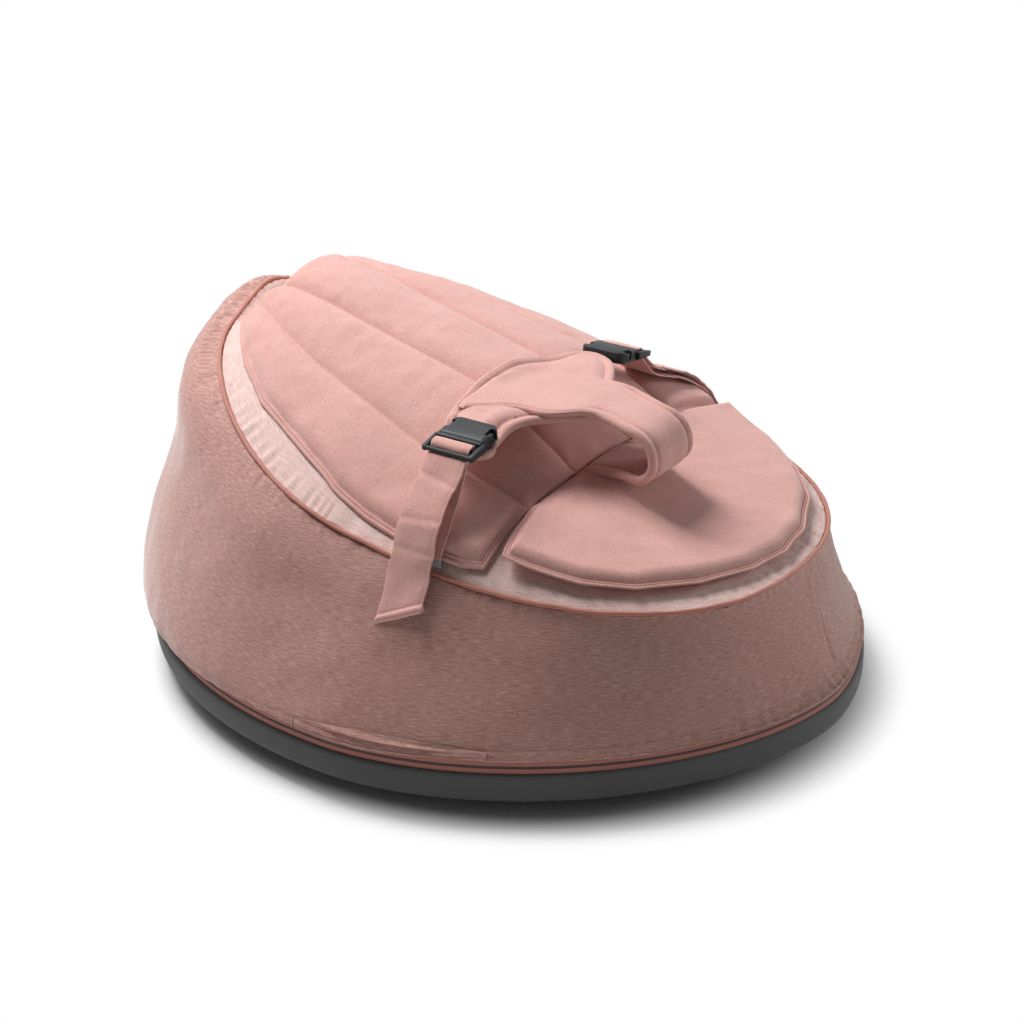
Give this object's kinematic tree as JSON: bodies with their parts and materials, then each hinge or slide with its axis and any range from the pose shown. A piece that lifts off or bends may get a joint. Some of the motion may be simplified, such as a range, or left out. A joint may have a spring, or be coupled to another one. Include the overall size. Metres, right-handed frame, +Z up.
{
  "type": "baby rocker",
  "caption": "Soft bead-filled baby nest with a padded seat liner and hip harness, zipped onto a low round tray that tilts on a sprung floor frame.",
  "frame": {"origin": "on the floor, under the middle of the tray's outline", "axes": "+X from the head end to the foot end, +Y to the baby's left, +Z up"},
  "size_m": [0.7841, 0.705, 0.3809],
  "materials": {
    "frame_steel": "satin",
    "bright_steel": "satin",
    "bearing_resin": "satin",
    "foot_rubber": "matte",
    "tray_resin": "matte",
    "grey_cloth": "matte",
    "zip_resin": "matte",
    "tape_cloth": "matte",
    "side_knit": "matte",
    "top_knit": "matte",
    "piping_cloth": "matte",
    "bead_fill": "matte",
    "velour": "matte",
    "grey_webbing": "matte",
    "buckle_resin": "satin"
  },
  "bodies": {
    "floor_stand": {"head_crossbar": "frame_steel", "middle_crossbar": "frame_steel", "foot_crossbar": "frame_steel", "near_runner": "frame_steel", "far_runner": "frame_steel", "near_axle_bracket": "frame_steel", "far_axle_bracket": "frame_steel", "axle_rod": "bright_steel", "near_axle_clip": "bright_steel", "far_axle_clip": "bright_steel", "near_head_rubber_foot": "foot_rubber", "near_foot_rubber_foot": "foot_rubber", "far_head_rubber_foot": "foot_rubber", "far_foot_rubber_foot": "foot_rubber", "near_head_spring": "bright_steel", "near_foot_spring": "bright_steel", "far_head_spring": "bright_steel", "far_foot_spring": "bright_steel"},
    "tray": {"near_bearing_block": "bearing_resin", "far_bearing_block": "bearing_resin", "tray_board": "tray_resin", "tray_ring": "tray_resin", "tray_skirt": "grey_cloth", "lower_zip_tape": "tape_cloth", "zip_chain": "zip_resin", "zip_slider": "bright_steel", "upper_zip_tape": "tape_cloth", "zip_end_flap": "side_knit", "bag_floor": "grey_cloth", "bead_filling": "bead_fill", "side_panel": "side_knit", "top_panel": "top_knit", "rim_piping": "piping_cloth", "seat_liner": "velour", "leg_flap": "velour", "harness_pad": "velour", "near_anchor_tab": "grey_webbing", "far_anchor_tab": "grey_webbing", "near_anchor_strap": "velour", "far_anchor_strap": "velour", "near_buckle_socket": "buckle_resin", "far_buckle_socket": "buckle_resin"},
    "near_plug": {"near_buckle_plug": "buckle_resin", "near_strap_tail": "velour"},
    "far_plug": {"far_buckle_plug": "buckle_resin", "far_strap_tail": "velour"},
    "near_head_prong": {"near_head_prong": "buckle_resin"},
    "near_foot_prong": {"near_foot_prong": "buckle_resin"},
    "far_head_prong": {"far_head_prong": "buckle_resin"},
    "far_foot_prong": {"far_foot_prong": "buckle_resin"}
  },
  "joints": [
    {"name": "rocker_tilt", "type": "hinge", "parent": "floor_stand", "child": "tray", "pos_m": [0, 0, 0.034], "axis": [0, 1, 0], "range_deg": [-2.5, 2.5], "stiffness_Nm_per_rad": 160, "deforming": ["near_head_spring", "near_foot_spring", "far_head_spring", "far_foot_spring"]},
    {"name": "near_buckle_slide", "type": "slide", "parent": "tray", "child": "near_plug", "axis": [0, -0.9848, -0.1736], "range_m": [0, 0.03], "deforming": ["near_anchor_strap"]},
    {"name": "near_head_prong_press", "type": "slide", "parent": "near_plug", "child": "near_head_prong", "axis": [1, 0, 0], "range_m": [0, 0.0025], "stiffness_N_per_m": 600},
    {"name": "near_foot_prong_press", "type": "slide", "parent": "near_plug", "child": "near_foot_prong", "axis": [-1, 0, 0], "range_m": [0, 0.0025], "stiffness_N_per_m": 600},
    {"name": "far_buckle_slide", "type": "slide", "parent": "tray", "child": "far_plug", "axis": [0, 0.9848, -0.1736], "range_m": [0, 0.03], "deforming": ["far_anchor_strap"]},
    {"name": "far_head_prong_press", "type": "slide", "parent": "far_plug", "child": "far_head_prong", "axis": [1, 0, 0], "range_m": [0, 0.0025], "stiffness_N_per_m": 600},
    {"name": "far_foot_prong_press", "type": "slide", "parent": "far_plug", "child": "far_foot_prong", "axis": [-1, 0, 0], "range_m": [0, 0.0025], "stiffness_N_per_m": 600}
  ],
  "couplings": [
    {"joint": "near_foot_prong_press", "follows": "near_head_prong_press", "ratio": 1},
    {"joint": "far_foot_prong_press", "follows": "far_head_prong_press", "ratio": 1}
  ]
}
